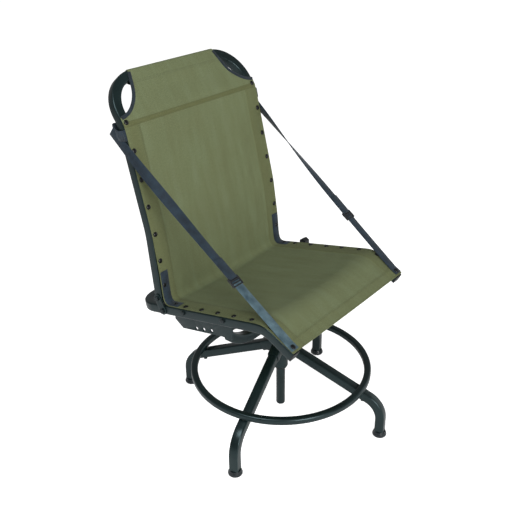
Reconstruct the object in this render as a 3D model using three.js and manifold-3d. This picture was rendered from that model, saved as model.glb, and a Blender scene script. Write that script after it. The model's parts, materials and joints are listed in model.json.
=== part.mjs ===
// Blind swivel chair: a sling seat with a folding back, which turns on a telescoping post
// in the hub of a four-legged base with a square-tube footrest ring.
// Millimetres, +Z up. The chair faces -Y. The origin is on the swivel axis, at floor level.
import * as THREE from "three";
import { mergeVertices } from "three/addons/utils/BufferGeometryUtils.js";
import Module from "manifold-3d";

const wasm = await Module();
wasm.setup();

// ---------------------------------------------------------------- driving dimensions
const GAP = 0.3; // kept between pieces that touch
const DEG = Math.PI / 180;

// base
const baseTurn = -165.3; // heading of the front leg, degrees from +X
const legTube = 25.4;
const legWall = 2;
const footRadius = 297.3; // swivel axis to the middle of each foot
const legSlope = 23.6; // degrees below the horizontal
const legHeightAtAxis = 229; // where the legs' centre lines would meet
const legBendRadius = 65;
const footPad = { radius: 19.5, height: 16, plugHeight: 22 };
const socket = { size: 30, bore: 26.1, start: 12, end: 52 };
const legBoltRadius = 42; // swivel axis to the bolt that holds each leg in its socket
const sleeve = { radius: 20.5, bore: 16, bottom: 148, top: 258 };
const ring = { radius: 243.4, tube: 19, wall: 1.8, corner: 6, height: 150.4 };

// post and swivel
const postRadius = 12.7;
const postWall = 2.4;
const postBottom = 20;
const crossTube = { size: 25.4, wall: 2.5, height: 318.4, flatHalf: 118, bendRadius: 132, bend: 44 };

// seat frame: one square tube, bent down at the front and round behind the back
const frameTube = 25.4;
const frameWall = 1.8;
const frameHalfWidth = 231; // swivel axis to the middle of each rail
const seatSlope = 12.4; // degrees, rising towards the front
const railHeightAtAxis = 415.1;
const frontBend = { y: -114.7, angle: 40, radius: 63, tail: 68.4 };
const rearBarY = 300.6;
const rearBendRadius = 60;
const bracketThickness = 4;
const railBolts = [
  [126, 391],
  [-11, 422],
];

// back frame: one square tube, leaning back and bent further back at the head
const pivot = { y: 216, z: 402 };
const plateFoot = { y: 199, z: 371 }; // bolt that holds the pivot plates to the rail
const plateThickness = 3;
const lean = { lower: 5.4, upper: 13.5, head: 37.2 };
const lowerBend = { z: 580, radius: 300 };
const headBend = { z: 852, radius: 90, steps: 5 };
const archRadius = 89;

// sling and straps
const slingThickness = 3;
const slingHalfWidth = 243;
const slingRear = 165; // rear end of the seat panel
const slingBottom = 440; // lower end of the back panel
const headHalfWidth = 151;
const strapWidth = 25;
const strapThickness = 2.2;
const loopThickness = 1.4;
const loopBelowBend = 18; // the loops reach this far below the head bend
const strapFoot = { x: 231, y: -214, z: 425 };
const strapHead = { x: 249, y: 320, z: 827 };
const strapTwist = [0.385, 1.078]; // turns from flat on the seat towards flat on the tube
const buckleAlong = 0.289; // buckle's place along the strap, from its foot

// ---------------------------------------------------------------- materials
const paint = (color, roughness = 0.45, metalness = 0.3) =>
  new THREE.MeshStandardMaterial({ color, roughness, metalness });
const LOOKS = {
  frame: paint(0x2d3936),
  steel: paint(0x23282a, 0.4, 0.8),
  plastic: paint(0x15181a, 0.5, 0),
  rubber: paint(0x17191a, 0.8, 0),
  fabric: paint(0x69734f, 0.9, 0),
  webbing: paint(0x1d2733, 0.85, 0),
};

const chair = new THREE.Group();
function place(parent, name, geometry, look) {
  const mesh = new THREE.Mesh(geometry, LOOKS[look]);
  mesh.name = name;
  parent.add(mesh);
  return mesh;
}

// ---------------------------------------------------------------- solids
function toSolid(geometry) {
  const bare = geometry.index ? geometry.toNonIndexed() : geometry.clone();
  bare.deleteAttribute("normal");
  bare.deleteAttribute("uv");
  const merged = mergeVertices(bare, 1e-3);
  return new wasm.Manifold(
    new wasm.Mesh({
      numProp: 3,
      vertProperties: merged.attributes.position.array,
      triVerts: new Uint32Array(merged.index.array),
    }),
  );
}

function toGeometry(solid) {
  const mesh = solid.getMesh();
  return new THREE.BufferGeometry()
    .setAttribute("position", new THREE.BufferAttribute(mesh.vertProperties, 3))
    .setIndex(new THREE.BufferAttribute(mesh.triVerts, 1));
}

const cut = (geometry, ...tools) =>
  toGeometry(tools.reduce((body, tool) => body.subtract(toSolid(tool)), toSolid(geometry)));
const join = (geometry, ...others) =>
  toGeometry(others.reduce((body, other) => body.add(toSolid(other)), toSolid(geometry)));

function box(x0, x1, y0, y1, z0, z1) {
  return new THREE.BoxGeometry(Math.abs(x1 - x0), y1 - y0, z1 - z0).translate(
    (x0 + x1) / 2,
    (y0 + y1) / 2,
    (z0 + z1) / 2,
  );
}

// A cylinder between two points.
function rod(from, to, radius, sides = 14) {
  const along = new THREE.Vector3().subVectors(to, from);
  const turn = new THREE.Quaternion().setFromUnitVectors(
    new THREE.Vector3(0, 1, 0),
    along.clone().normalize(),
  );
  return new THREE.CylinderGeometry(radius, radius, along.length(), sides)
    .applyQuaternion(turn)
    .translate((from.x + to.x) / 2, (from.y + to.y) / 2, (from.z + to.z) / 2);
}

// A round piece about +Z from [radius, height] pairs.
function turned(profile, sides = 24) {
  const points = profile.map(([r, z]) => new THREE.Vector2(r, z));
  if (THREE.ShapeUtils.area(points) < 0) points.reverse();
  return new THREE.LatheGeometry(points, sides).rotateX(Math.PI / 2);
}

// A turned ring needs a profile that closes on itself.
const turnedRing = (profile, sides) => turned([...profile, profile[0]], sides);

// A flat outline in the Y-Z plane, made thick along X from x0 to x1.
function sidePlate(shape, x0, x1, curveSegments = 8) {
  const turn = new THREE.Matrix4().makeBasis(
    new THREE.Vector3(0, 1, 0),
    new THREE.Vector3(0, 0, 1),
    new THREE.Vector3(1, 0, 0),
  );
  return new THREE.ExtrudeGeometry(shape, { depth: x1 - x0, bevelEnabled: false, curveSegments })
    .applyMatrix4(turn)
    .translate(x0, 0, 0);
}

// ---------------------------------------------------------------- bent tubes
// A path of straights and bends, drawn like a pen that turns about a given axis.
class BentPath extends THREE.Curve {
  constructor(start, heading) {
    super();
    this.at = start.clone();
    this.heading = heading.clone().normalize();
    this.stations = [{ point: this.at.clone(), tangent: this.heading.clone() }];
  }
  mark() {
    this.stations.push({ point: this.at.clone(), tangent: this.heading.clone() });
  }
  straight(length) {
    this.at.addScaledVector(this.heading, length);
    this.mark();
    return this;
  }
  bend(degrees, radius, axis, steps) {
    const unit = axis.clone().normalize().multiplyScalar(Math.sign(degrees));
    const centre = new THREE.Vector3().crossVectors(unit, this.heading);
    centre.multiplyScalar(radius).add(this.at);
    const step = (Math.abs(degrees) * DEG) / steps;
    for (let i = 0; i < steps; i++) {
      this.at.sub(centre).applyAxisAngle(unit, step).add(centre);
      this.heading.applyAxisAngle(unit, step);
      this.mark();
    }
    return this;
  }
  station(u) {
    return this.stations[Math.round(u * (this.stations.length - 1))];
  }
  getPointAt(u) {
    return this.station(u).point.clone();
  }
  getTangentAt(u) {
    return this.station(u).tangent.clone();
  }
}

function roundedSquare(size, corner) {
  const half = size / 2;
  const flat = half - corner;
  const shape = new THREE.Shape();
  shape.moveTo(half, -flat);
  [0, 90, 180, 270].forEach((turn) => {
    const centre = new THREE.Vector2(flat, flat).rotateAround(new THREE.Vector2(), turn * DEG);
    shape.absarc(centre.x, centre.y, corner, turn * DEG, (turn + 90) * DEG);
  });
  return shape;
}

// A square tube of the given size and wall along a path.
function squareTube(path, size, wall, corner = 4) {
  const section = roundedSquare(size, corner);
  if (wall) section.holes.push(roundedSquare(size - 2 * wall, Math.max(corner - wall, 1)));
  return new THREE.ExtrudeGeometry(section, {
    extrudePath: path,
    steps: path.stations.length - 1,
    bevelEnabled: false,
    curveSegments: 1,
  });
}

// A hexagon-head bolt with its shank along a line, and a nut at the far end if asked.
function bolt(head, tip, { shank, across, headHeight, nut = false }) {
  const along = new THREE.Vector3().subVectors(tip, head).normalize();
  const top = head.clone().addScaledVector(along, -headHeight);
  const stem = rod(head.clone().addScaledVector(along, -1), tip, shank, 10);
  let body = join(stem, rod(top, head, across, 6));
  if (nut) body = join(body, rod(tip.clone().addScaledVector(along, -headHeight), tip, across, 6));
  return body;
}

const X = new THREE.Vector3(1, 0, 0);
const vec = (x, y, z) => new THREE.Vector3(x, y, z);

// ---------------------------------------------------------------- base
const base = new THREE.Group();
chair.add(base);

const legRise = Math.tan(legSlope * DEG);
const legHeight = (r) => legHeightAtAxis - legRise * r;
const legDown = vec(0, Math.cos(legSlope * DEG), -Math.sin(legSlope * DEG));
const legBend = 90 - legSlope;

// The hub is one weldment: a sleeve for the post and four square sockets for the legs.
function hub() {
  const chamfer = 3;
  const outside = turned([
    [0, sleeve.bottom],
    [sleeve.radius - chamfer, sleeve.bottom],
    [sleeve.radius, sleeve.bottom + chamfer],
    [sleeve.radius, sleeve.top],
    [0, sleeve.top],
  ]);
  let body = outside;
  const bores = [];
  for (let k = 0; k < 4; k++) {
    const turn = (baseTurn - 90 + 90 * k) * DEG;
    const arm = new BentPath(vec(0, socket.start, legHeight(socket.start)), legDown);
    arm.straight((socket.end - socket.start) / Math.cos(legSlope * DEG));
    body = join(body, squareTube(arm, socket.size, 0, 3).rotateZ(turn));
    const bore = new BentPath(vec(0, 29, legHeight(29)), legDown).straight(60);
    bores.push(squareTube(bore, socket.bore, 0, 4).rotateZ(turn));
    bores.push(legBoltHole().rotateZ(turn));
  }
  const postBore = rod(vec(0, 0, 0), vec(0, 0, 400), sleeve.bore, 32);
  const screwHole = rod(vec(0, 0, 0), clampDirection.clone().multiplyScalar(60), 5.3)
    .translate(0, 0, clampHeight);
  return cut(body, postBore, screwHole, ...bores);
}

// Each leg is held in its socket by a bolt from below, square to the tube.
const legBoltAlong = vec(0, Math.sin(legSlope * DEG), Math.cos(legSlope * DEG));
const legBoltCentre = vec(0, legBoltRadius, legHeight(legBoltRadius));
function onLegBolt(offset) {
  return legBoltCentre.clone().addScaledVector(legBoltAlong, offset);
}
function legBoltHole() {
  return rod(onLegBolt(-30), onLegBolt(9), 4.4);
}
function legBolt() {
  return bolt(onLegBolt(-socket.size / 2 - GAP), onLegBolt(8), { shank: 4, across: 7, headHeight: 5 });
}

function leg() {
  const start = 30;
  const bendReach = legBendRadius * Math.tan((legBend / 2) * DEG);
  const corner = footRadius - bendReach * Math.cos(legSlope * DEG);
  const path = new BentPath(vec(0, start, legHeight(start)), legDown)
    .straight((corner - start) / Math.cos(legSlope * DEG))
    .bend(-legBend, legBendRadius, X, 7);
  path.straight(path.at.z - footPad.height - GAP);
  const ringHole = rod(vec(0, ring.radius, 0), vec(0, ring.radius, 200), 3.4);
  return cut(squareTube(path, legTube, legWall), ringHole, legBoltHole());
}

function footPadShape() {
  const plug = legTube / 2 - legWall - GAP;
  const foot = turned([
    [0, 0],
    [footPad.radius - 2, 0],
    [footPad.radius, 2],
    [footPad.radius, footPad.height - 5],
    [footPad.radius - 4, footPad.height],
    [0, footPad.height],
  ]);
  const up = new BentPath(vec(0, 0, 2), vec(0, 0, 1)).straight(footPad.height + footPad.plugHeight);
  return join(foot, squareTube(up, 2 * plug, 0, 2));
}

// The ring lies on the legs; a bolt comes up through each leg into its lower wall.
const legUnderside = legHeight(ring.radius) - legTube / 2 / Math.cos(legSlope * DEG);
const ringBoltHead = legUnderside - 6 * legRise - GAP;
const ringBoltTip = ring.height - ring.tube / 2 + ring.wall + 4;
function ringBolt() {
  const head = vec(0, ring.radius, ringBoltHead);
  return bolt(head, vec(0, ring.radius, ringBoltTip), { shank: 3, across: 6, headHeight: 4.5 });
}

function ringTube(size, corner) {
  const points = roundedSquare(size, corner)
    .getPoints(1)
    .map((p) => [p.x + ring.radius, p.y + ring.height]);
  points.pop();
  return turnedRing(points, 48);
}
function footrestRing() {
  const holes = [];
  for (let k = 0; k < 4; k++) {
    const turn = (baseTurn - 90 + 90 * k) * DEG;
    holes.push(rod(vec(0, ring.radius, 100), vec(0, ring.radius, ringBoltTip), 3.4).rotateZ(turn));
  }
  const inside = ringTube(ring.tube - 2 * ring.wall, ring.corner - ring.wall);
  return cut(ringTube(ring.tube, ring.corner), inside, ...holes);
}

// A bush in each end of the sleeve guides the post.
function bush(flangeFrom, flangeTo, bodyTo) {
  const inner = postRadius + 0.2;
  return turnedRing([
    [inner, flangeFrom],
    [18, flangeFrom],
    [18, flangeTo],
    [sleeve.bore - GAP, flangeTo],
    [sleeve.bore - GAP, bodyTo],
    [inner, bodyTo],
  ]);
}

// A clamp screw in a welded boss on the sleeve holds the post at its height.
const clampHeight = 186;
const clampDirection = vec(Math.cos(60 * DEG), Math.sin(60 * DEG), 0);
function alongClamp(distance) {
  return clampDirection.clone().multiplyScalar(distance).setZ(clampHeight);
}
function clampBoss() {
  const block = rod(alongClamp(sleeve.radius - 4), alongClamp(32), 9, 20);
  const sleeveBody = rod(vec(0, 0, 100), vec(0, 0, 300), sleeve.radius + GAP, 48);
  return cut(block, sleeveBody, rod(alongClamp(0), alongClamp(60), 5.3));
}
function clampScrew() {
  const screw = rod(alongClamp(postRadius + GAP), alongClamp(46), 4.8);
  return join(screw, knob(alongClamp(44), alongClamp(58), 17));
}
// A hand knob with shallow finger lobes.
function knob(from, to, radius) {
  const lobes = 6;
  const outline = new THREE.Shape();
  const steps = 36;
  for (let i = 0; i < steps; i++) {
    const angle = (i / steps) * 2 * Math.PI;
    const r = radius * (0.93 + 0.07 * Math.cos(lobes * angle));
    if (i) outline.lineTo(r * Math.cos(angle), r * Math.sin(angle));
    else outline.moveTo(r * Math.cos(angle), r * Math.sin(angle));
  }
  const along = new THREE.Vector3().subVectors(to, from);
  const turn = new THREE.Quaternion().setFromUnitVectors(vec(0, 0, 1), along.clone().normalize());
  return new THREE.ExtrudeGeometry(outline, { depth: along.length(), bevelEnabled: false })
    .applyQuaternion(turn)
    .translate(from.x, from.y, from.z);
}

place(base, "hub", hub(), "frame");
const upperBush = bush(sleeve.top + 2.3, sleeve.top + GAP, sleeve.top - 20);
const lowerBush = bush(sleeve.bottom - 2.3, sleeve.bottom - GAP, sleeve.bottom + 20);
place(base, "upper_post_bush", upperBush, "plastic");
place(base, "lower_post_bush", lowerBush, "plastic");
place(base, "clamp_boss", clampBoss(), "frame");
place(base, "height_clamp_knob", clampScrew(), "plastic");
place(base, "footrest_ring", footrestRing(), "frame");
["front", "right", "rear", "left"].forEach((side, k) => {
  const quarter = new THREE.Group();
  quarter.rotation.z = (baseTurn - 90 + 90 * k) * DEG;
  base.add(quarter);
  place(quarter, side + "_leg", leg(), "frame");
  place(quarter, side + "_foot", footPadShape().translate(0, footRadius, 0), "rubber");
  place(quarter, side + "_leg_bolt", legBolt(), "steel");
  place(quarter, side + "_ring_bolt", ringBolt(), "steel");
});

// ---------------------------------------------------------------- post and swivel
const post = new THREE.Group();
chair.add(post);
const plateDepth = 6;
const bearingDepth = 6.4;
const upperPlateTop = crossTube.height - crossTube.size / 2 - GAP;
const bearingTop = upperPlateTop - plateDepth - GAP;
const lowerPlateTop = bearingTop - bearingDepth - GAP;
const postTop = lowerPlateTop - plateDepth - GAP;
const kingShank = 6;
const kingHole = kingShank + 0.5;

function postTube() {
  return turnedRing([
    [postRadius - postWall, postBottom],
    [postRadius, postBottom],
    [postRadius, postTop],
    [postRadius - postWall, postTop],
  ]);
}
function postPlug() {
  const plug = postRadius - postWall - GAP;
  return turned([
    [0, postBottom - 2.3],
    [postRadius - 1, postBottom - 2.3],
    [postRadius, postBottom - GAP],
    [plug, postBottom - GAP],
    [plug, postBottom + 14],
    [0, postBottom + 14],
  ]);
}
// A collar on the post carries a flat plate.
function lowerSwivelPlate() {
  const collar = postRadius + GAP;
  return turnedRing([
    [collar, postTop - 16],
    [17, postTop - 16],
    [17, lowerPlateTop - plateDepth],
    [36, lowerPlateTop - plateDepth],
    [36, lowerPlateTop],
    [kingHole, lowerPlateTop],
    [kingHole, lowerPlateTop - plateDepth],
    [collar, lowerPlateTop - plateDepth],
  ]);
}
function bearingRing() {
  const middle = lowerPlateTop + GAP + bearingDepth / 2;
  const profile = [];
  for (let i = 0; i < 10; i++) {
    const angle = (i / 10) * 2 * Math.PI;
    profile.push([26 + 6 * Math.cos(angle), middle + (bearingDepth / 2) * Math.sin(angle)]);
  }
  return turnedRing(profile);
}
place(post, "post_tube", postTube(), "frame");
place(post, "post_end_plug", postPlug(), "plastic");
place(post, "lower_swivel_plate", lowerSwivelPlate(), "frame");
place(post, "bearing_ring", bearingRing(), "steel");

// ---------------------------------------------------------------- seat
const seat = new THREE.Group();
chair.add(seat);
const SIDES = [
  ["left", -1],
  ["right", 1],
];
const slope = seatSlope * DEG;
const railZ = (y) => railHeightAtAxis - y * Math.tan(slope);
const frameNormal = vec(0, Math.sin(slope), Math.cos(slope));
const railInner = frameHalfWidth - frameTube / 2;
const railOuter = frameHalfWidth + frameTube / 2;
const bracketInner = railInner - GAP - bracketThickness;

// A plate shape on one side of the chair, between two distances from the middle.
function onSide(s, shape, near, far, curveSegments) {
  return s > 0
    ? sidePlate(shape, near, far, curveSegments)
    : sidePlate(shape, -far, -near, curveSegments);
}
// A rod across the chair at a point of the side view.
const crossRod = (x0, x1, y, z, radius, sides) => rod(vec(x0, y, z), vec(x1, y, z), radius, sides);

function upperSwivelPlate() {
  return turnedRing([
    [kingHole, upperPlateTop - plateDepth],
    [36.6, upperPlateTop - plateDepth],
    [36.6, postTop - 2],
    [39, postTop - 2],
    [39, upperPlateTop],
    [kingHole, upperPlateTop],
  ]);
}

const kingHead = crossTube.height + crossTube.size / 2 + GAP;
const kingNutTop = lowerPlateTop - plateDepth - GAP;
function kingBolt() {
  const tip = vec(0, 0, kingNutTop - 11);
  return bolt(vec(0, 0, kingHead), tip, { shank: kingShank, across: 10.5, headHeight: 7 });
}
function kingNut() {
  const nut = rod(vec(0, 0, kingNutTop - 8.6), vec(0, 0, kingNutTop), 9.6, 6);
  return cut(nut, rod(vec(0, 0, 200), vec(0, 0, 400), kingShank + GAP, 14));
}

// The cross tube lies over the swivel and is bent up at both ends to meet the brackets.
function crossMember() {
  const { size, wall, height, flatHalf, bendRadius, bend } = crossTube;
  const end = bracketInner - GAP;
  const up = bend * DEG;
  const arcX = bendRadius * Math.sin(up);
  const arcZ = bendRadius * (1 - Math.cos(up));
  const tail = (end + 12 - flatHalf - arcX) / Math.cos(up);
  const start = vec(-end - 12, 0, height + arcZ + tail * Math.sin(up));
  const across = vec(0, -1, 0);
  const path = new BentPath(start, vec(Math.cos(up), 0, -Math.sin(up)))
    .straight(tail)
    .bend(bend, bendRadius, across, 6)
    .straight(2 * flatHalf)
    .bend(bend, bendRadius, across, 6)
    .straight(tail);
  const ends = SIDES.map(([, s]) => box(s * end, s * (end + 60), -40, 40, 280, 440));
  const hole = rod(vec(0, 0, 280), vec(0, 0, 380), kingHole);
  return cut(squareTube(path, size, wall), hole, ...ends);
}

// Side plates join the cross tube to the rails.
function bracketPlate(s) {
  const outline = new THREE.Shape(
    [
      [184, railZ(184) + 11],
      [-19, railZ(-19) + 11],
      [-17, 353],
      [16, 350.8],
      [156, 320],
      [184, 338.5],
    ].map(([y, z]) => new THREE.Vector2(y, z)),
  );
  const drill = ([y, z], radius) => {
    const hole = new THREE.Path();
    hole.absarc(y, z, radius, 0, 2 * Math.PI);
    outline.holes.push(hole);
  };
  [[106, 339], [80, 346], [53, 353]].forEach((hole) => drill(hole, 4.8));
  railBolts.forEach((hole) => drill(hole, 4.4));
  return onSide(s, outline, bracketInner, railInner - GAP);
}

const tailClimb = frontBend.angle * DEG - slope; // climb of the rail's front tail
function railPath(x) {
  const arcY = frontBend.radius * (Math.sin(tailClimb) + Math.sin(slope));
  const arcZ = frontBend.radius * (Math.cos(slope) - Math.cos(tailClimb));
  const start = vec(
    x,
    frontBend.y - arcY - frontBend.tail * Math.cos(tailClimb),
    railZ(frontBend.y) - arcZ - frontBend.tail * Math.sin(tailClimb),
  );
  return new BentPath(start, vec(0, Math.cos(tailClimb), Math.sin(tailClimb)));
}
function seatFrame() {
  const { y, angle, radius, tail } = frontBend;
  const railLength = (rearBarY - y) / Math.cos(slope) - rearBendRadius;
  const path = railPath(-frameHalfWidth)
    .straight(tail)
    .bend(-angle, radius, X, 6)
    .straight(railLength)
    .bend(-90, rearBendRadius, frameNormal, 8)
    .straight(2 * (frameHalfWidth - rearBendRadius))
    .bend(-90, rearBendRadius, frameNormal, 8)
    .straight(railLength)
    .bend(angle, radius, X, 6)
    .straight(tail);
  const holes = [...railBolts, [plateFoot.y, plateFoot.z]].map(([holeY, holeZ]) =>
    crossRod(-300, 300, holeY, holeZ, 4.4, 12),
  );
  return cut(squareTube(path, frameTube, frameWall), ...holes);
}
function railEndCap(s) {
  const { at, heading } = railPath(s * frameHalfWidth);
  const behind = (distance) => at.clone().addScaledVector(heading, distance);
  const face = new BentPath(behind(-2.8), heading).straight(2.8 - GAP);
  const plug = new BentPath(behind(-1), heading).straight(15);
  const inside = frameTube - 2 * frameWall - 2 * GAP;
  return join(squareTube(face, frameTube, 0), squareTube(plug, inside, 0, 2));
}

// Plates on both faces of each rail hold the back frame's pivot above the rail.
function pivotPlate(s, near) {
  const along = new THREE.Vector2(pivot.y - plateFoot.y, pivot.z - plateFoot.z);
  const turn = along.angle();
  const outline = new THREE.Shape();
  outline.absarc(pivot.y, pivot.z, 12, turn - Math.PI / 2, turn + Math.PI / 2);
  outline.absarc(plateFoot.y, plateFoot.z, 12, turn + Math.PI / 2, turn + 1.5 * Math.PI);
  [pivot, plateFoot].forEach(({ y, z }) => {
    const hole = new THREE.Path();
    hole.absarc(y, z, 4.4, 0, 2 * Math.PI);
    outline.holes.push(hole);
  });
  return onSide(s, outline, near, near + plateThickness, 6);
}
const outerPlate = railOuter + GAP;
const innerPlate = railInner - GAP - plateThickness;
// A bolt through a rail from its outer side, with a nut on the inner side.
function sideBolt(s, y, z, headX, nutX) {
  const tip = vec(s * (nutX - 5), y, z);
  return bolt(vec(s * headX, y, z), tip, { shank: 4, across: 7, headHeight: 5, nut: true });
}
function sideKnob(s, y, z) {
  const stem = crossRod(s * (bracketInner - 5), s * (railOuter + 26), y, z, 4, 12);
  return join(stem, knob(vec(s * (railOuter + 24), y, z), vec(s * (railOuter + 44), y, z), 12));
}

// Fabric hung at a constant distance from a path in the side view.
function hungOutline(path, near, far) {
  const offset = (distance) =>
    path.stations.map(({ point, tangent }) => {
      const out = new THREE.Vector3().crossVectors(X, tangent);
      return new THREE.Vector2(point.y + out.y * distance, point.z + out.z * distance);
    });
  return new THREE.Shape([...offset(near), ...offset(far).reverse()]);
}
function seatSling() {
  const path = railPath(0)
    .straight(frontBend.tail)
    .bend(-frontBend.angle, frontBend.radius, X, 6)
    .straight((slingRear - frontBend.y) / Math.cos(slope));
  const near = frameTube / 2 + GAP;
  return sidePlate(hungOutline(path, near, near + slingThickness), -slingHalfWidth, slingHalfWidth);
}

place(seat, "upper_swivel_plate", upperSwivelPlate(), "frame");
place(seat, "king_bolt", kingBolt(), "steel");
place(seat, "king_nut", kingNut(), "steel");
place(seat, "cross_tube", crossMember(), "frame");
place(seat, "seat_frame", seatFrame(), "frame");
place(seat, "seat_sling", seatSling(), "fabric");
SIDES.forEach(([side, s]) => {
  place(seat, side + "_bracket_plate", bracketPlate(s), "frame");
  place(seat, side + "_rail_end_cap", railEndCap(s), "plastic");
  place(seat, side + "_outer_pivot_plate", pivotPlate(s, outerPlate), "frame");
  place(seat, side + "_inner_pivot_plate", pivotPlate(s, innerPlate), "frame");
  const plateHead = outerPlate + plateThickness + GAP;
  const plateNut = innerPlate - GAP;
  place(seat, side + "_pivot_bolt", sideBolt(s, pivot.y, pivot.z, plateHead, plateNut), "steel");
  place(seat, side + "_plate_bolt", sideBolt(s, plateFoot.y, plateFoot.z, plateHead, plateNut), "steel");
  railBolts.forEach(([y, z], i) => {
    const isKnob = side === "right" && i === 0;
    const name = side + (i ? "_front" : "_rear") + (isKnob ? "_rail_knob" : "_rail_bolt");
    const shape = isKnob ? sideKnob(s, y, z) : sideBolt(s, y, z, railOuter + GAP, bracketInner - GAP);
    place(seat, name, shape, isKnob ? "plastic" : "steel");
  });
});

// ---------------------------------------------------------------- back
const back = new THREE.Group();
chair.add(back);
const leaning = (degrees) => vec(0, Math.sin(degrees * DEG), Math.cos(degrees * DEG));
const lowerTurn = lean.upper - lean.lower;
const headTurn = lean.head - lean.upper;
const lowerReach = lowerBend.radius * Math.tan((lowerTurn / 2) * DEG);
const headReach = headBend.radius * Math.tan((headTurn / 2) * DEG);
const archStraight = 0.6;
const endBelowPivot = 12;

// The side of the back frame up to the start of the arch, from a given height.
function backSide(x, startZ) {
  const tanLower = Math.tan(lean.lower * DEG);
  const start = vec(x, pivot.y + (startZ - pivot.z) * tanLower, startZ);
  const lowerLength = (lowerBend.z - startZ) / Math.cos(lean.lower * DEG) - lowerReach;
  const upperLength = (headBend.z - lowerBend.z) / Math.cos(lean.upper * DEG) - lowerReach - headReach;
  return new BentPath(start, leaning(lean.lower))
    .straight(lowerLength)
    .bend(-lowerTurn, lowerBend.radius, X, 3)
    .straight(upperLength)
    .bend(-headTurn, headBend.radius, X, headBend.steps)
    .straight(archStraight);
}
const sideEnd = backSide(-frameHalfWidth, pivot.z);
const headDirection = leaning(lean.head);
const archAxis = vec(0, Math.cos(lean.head * DEG), -Math.sin(lean.head * DEG));
const topBar = sideEnd.at.clone().setX(0).addScaledVector(headDirection, archRadius);

function backFrame() {
  const startZ = pivot.z - endBelowPivot * Math.cos(lean.lower * DEG);
  const path = backSide(-frameHalfWidth, startZ);
  const lowerLength = (lowerBend.z - startZ) / Math.cos(lean.lower * DEG) - lowerReach;
  const upperLength = (headBend.z - lowerBend.z) / Math.cos(lean.upper * DEG) - lowerReach - headReach;
  path
    .bend(90, archRadius, archAxis, 9)
    .straight(2 * (frameHalfWidth - archRadius))
    .bend(90, archRadius, archAxis, 9)
    .straight(archStraight)
    .bend(headTurn, headBend.radius, X, headBend.steps)
    .straight(upperLength)
    .bend(lowerTurn, lowerBend.radius, X, 3)
    .straight(lowerLength);
  return cut(squareTube(path, frameTube, frameWall), crossRod(-300, 300, pivot.y, pivot.z, 4.4, 12));
}

// The fabric stands in front of the tubes and closes round the top bar as a sleeve.
const slingStandoff = frameTube / 2 + 2;
function backSling() {
  const path = backSide(0, slingBottom).straight(archRadius);
  const panel = sidePlate(
    hungOutline(path, slingStandoff, slingStandoff + slingThickness),
    -slingHalfWidth,
    slingHalfWidth,
  );
  const sleeveHalf = headHalfWidth - 1;
  const along = new BentPath(topBar.clone().setX(-sleeveHalf), X).straight(2 * sleeveHalf);
  const size = 2 * (slingStandoff + slingThickness);
  const round = squareTube(along, size, slingThickness, 5).translate(0, -topBar.y, -topBar.z);
  round.rotateX(-lean.head * DEG).translate(0, topBar.y, topBar.z);
  return cut(join(panel, round), ...SIDES.map(([, s]) => earCut(s)));
}
// The corners of the head panel are cut away in a hollow curve, leaving a hand hold.
function earCut(s) {
  const outline = new THREE.Shape(
    [
      [headHalfWidth, 40],
      [headHalfWidth + 1, 10],
      [160, -15],
      [169, -40],
      [177, -57],
      [192, -73.5],
      [209, -86.5],
      [228, -94.5],
      [270, -97],
      [270, 40],
    ].map(([x, along]) => new THREE.Vector2(s * x, along)),
  );
  const out = new THREE.Vector3().crossVectors(X, headDirection);
  const turn = new THREE.Matrix4().makeBasis(X, headDirection, out);
  const from = topBar.clone().addScaledVector(out, slingStandoff - 8);
  return new THREE.ExtrudeGeometry(outline, { depth: 30, bevelEnabled: false })
    .applyMatrix4(turn)
    .translate(from.x, from.y, from.z);
}

// Webbing loops round the back tubes, just below and over the start of the head bend, take the
// heads of the side straps.
function strapLoop(s) {
  const bendStartZ = headBend.z - headReach * Math.cos(lean.upper * DEG);
  const z = bendStartZ - loopBelowBend * Math.cos(lean.upper * DEG);
  const elbowY = pivot.y + (lowerBend.z - pivot.z) * Math.tan(lean.lower * DEG);
  const y = elbowY + (z - lowerBend.z) * Math.tan(lean.upper * DEG);
  const path = new BentPath(vec(s * frameHalfWidth, y, z), leaning(lean.upper))
    .straight(loopBelowBend)
    .bend(-headTurn / headBend.steps, headBend.radius, X, 1);
  return squareTube(path, frameTube + 2 * (GAP + loopThickness), loopThickness);
}

place(back, "back_frame", backFrame(), "frame");
place(back, "back_sling", backSling(), "fabric");
SIDES.forEach(([side, s]) => place(back, side + "_strap_loop", strapLoop(s), "webbing"));

// ---------------------------------------------------------------- side straps
const strapDirection = new THREE.Vector2(strapHead.y - strapFoot.y, strapHead.z - strapFoot.z).normalize();
const strapAlong = vec(0, strapDirection.x, strapDirection.y);
const strapUp = vec(0, -strapDirection.y, strapDirection.x);
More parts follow.
